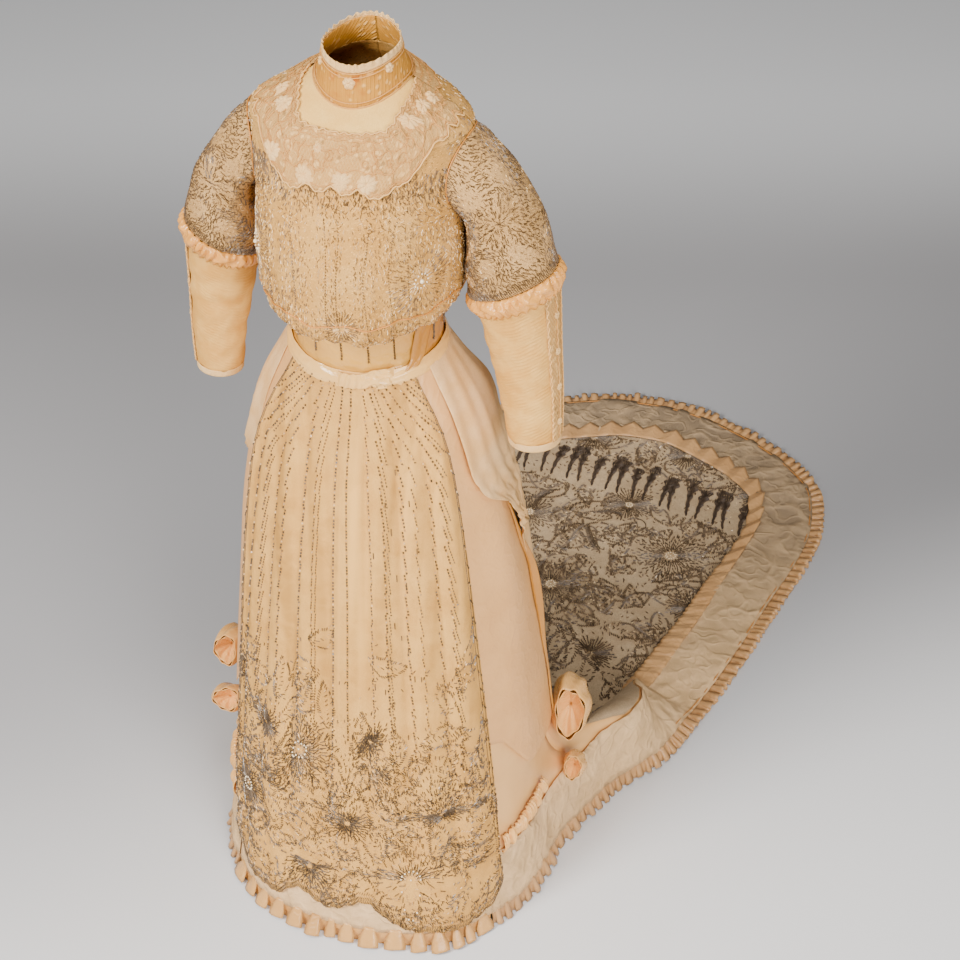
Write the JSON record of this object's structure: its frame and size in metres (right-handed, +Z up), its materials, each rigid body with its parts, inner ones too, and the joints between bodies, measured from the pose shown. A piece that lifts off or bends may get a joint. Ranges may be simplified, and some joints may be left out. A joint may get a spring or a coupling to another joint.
{
  "type": "wedding dress",
  "caption": "Trained wedding gown: high collar, pouched beaded bodice, elbow over-sleeves on long under-sleeves, satin skirt with a beaded panel, side drapes and a frilled train.",
  "frame": {"origin": "centre of the waist, level with the waistband's middle, where the wearer holds the gown up", "axes": "+Z up, +X to the wearer's left, +Y to the wearer's back, where the train lies; the floor is at Z = -1.03 m"},
  "size_m": [0.9669, 1.611, 1.4379],
  "materials": {
    "satin": "peach-cream silk satin, soft sheen",
    "ribbon_satin": "peach to tan silk satin, brighter sheen",
    "pale_net": "pale cream net over satin, matt",
    "lace": "cream lace, raised cord and flowers, matt",
    "beaded_net": "cream net sewn with metallic and clear tube beads",
    "dark_beaded_net": "cream net densely sewn with darker tube beads",
    "train_net": "greyish-beige net sewn with metallic tube beads"
  },
  "bodies": {
    "root": {"belt": "ribbon_satin", "belt_end": "ribbon_satin", "belt_knot": "ribbon_satin", "bodice_back_left": "beaded_net", "bodice_back_right": "beaded_net", "bodice_front": "beaded_net", "bow_loop_left_lower": "ribbon_satin", "bow_loop_left_upper": "ribbon_satin", "bow_loop_right_lower": "ribbon_satin", "bow_loop_right_upper": "ribbon_satin", "collar": "lace", "collar_edging": "lace", "cuff_band_left": "satin", "cuff_band_right": "satin", "front_panel": "beaded_net", "hem_border_front": "pale_net", "hem_border_train": "pale_net", "hem_frill_front": "ribbon_satin", "hem_frill_train": "ribbon_satin", "hip_drape_left": "satin", "hip_drape_right": "satin", "neck_lace_back_left": "lace", "neck_lace_back_right": "lace", "neck_lace_front": "lace", "side_drape_left": "satin", "side_drape_right": "satin", "skirt_back_left": "satin", "skirt_back_right": "satin", "skirt_front": "satin", "skirt_ruche_left": "ribbon_satin", "skirt_ruche_right": "ribbon_satin", "skirt_side_left": "satin", "skirt_side_right": "satin", "sleeve_lace_left": "lace", "sleeve_lace_right": "lace", "sleeve_over_left": "dark_beaded_net", "sleeve_over_right": "dark_beaded_net", "sleeve_ruche_left": "ribbon_satin", "sleeve_ruche_right": "ribbon_satin", "sleeve_under_left": "pale_net", "sleeve_under_right": "pale_net", "train_inner_frill": "ribbon_satin", "train_panel": "train_net", "waistband": "satin", "yoke": "pale_net"}
  },
  "joints": []
}
